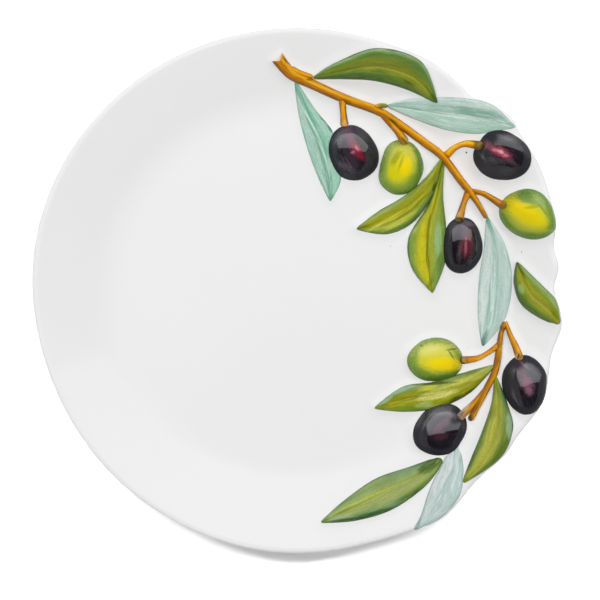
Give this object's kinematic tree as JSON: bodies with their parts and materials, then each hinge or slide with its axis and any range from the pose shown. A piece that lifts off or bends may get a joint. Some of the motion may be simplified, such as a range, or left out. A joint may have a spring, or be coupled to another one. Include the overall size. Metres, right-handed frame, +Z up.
{
  "type": "olive dish",
  "caption": "Round white glazed coupe dish with a foot ring, a wavy edge on one side and olive sprigs in coloured relief, for serving olives and small food.",
  "frame": {"origin": "on the axis of the foot ring, in the plane of the face that it stands on", "axes": "+Z up along the dish's axis, +X towards the side that carries the sprigs, +Y towards the cut end of the upper branch"},
  "size_m": [0.2614, 0.2588, 0.0339],
  "materials": {
    "white_glaze": "gloss glaze",
    "green_leaf_glaze": "gloss glaze",
    "teal_leaf_glaze": "gloss glaze",
    "pale_leaf_glaze": "gloss glaze",
    "black_olive_glaze": "gloss glaze",
    "green_olive_glaze": "gloss glaze",
    "branch_glaze": "gloss glaze"
  },
  "bodies": {
    "root": {"dish": "white_glaze", "leaf_top_left": "teal_leaf_glaze", "leaf_top": "green_leaf_glaze", "leaf_top_right": "teal_leaf_glaze", "leaf_center_left": "green_leaf_glaze", "leaf_center": "green_leaf_glaze", "leaf_middle": "teal_leaf_glaze", "leaf_rim": "green_leaf_glaze", "leaf_lower_left": "green_leaf_glaze", "leaf_lower_right": "green_leaf_glaze", "leaf_bottom": "green_leaf_glaze", "leaf_bottom_rim": "pale_leaf_glaze", "olive_top_left": "black_olive_glaze", "olive_top_green": "green_olive_glaze", "olive_top_right": "black_olive_glaze", "olive_center": "black_olive_glaze", "olive_right_green": "green_olive_glaze", "olive_lower_green": "green_olive_glaze", "olive_lower_right": "black_olive_glaze", "olive_bottom": "black_olive_glaze", "upper_branch": "branch_glaze", "lower_branch": "branch_glaze", "stalk_top_left": "branch_glaze", "stalk_top_green": "branch_glaze", "stalk_top_right": "branch_glaze", "stalk_center": "branch_glaze", "stalk_right_green": "branch_glaze", "stalk_lower_green": "branch_glaze", "stalk_lower_right": "branch_glaze", "stalk_bottom": "branch_glaze", "twig_top": "branch_glaze", "bud_top": "branch_glaze"}
  },
  "joints": []
}
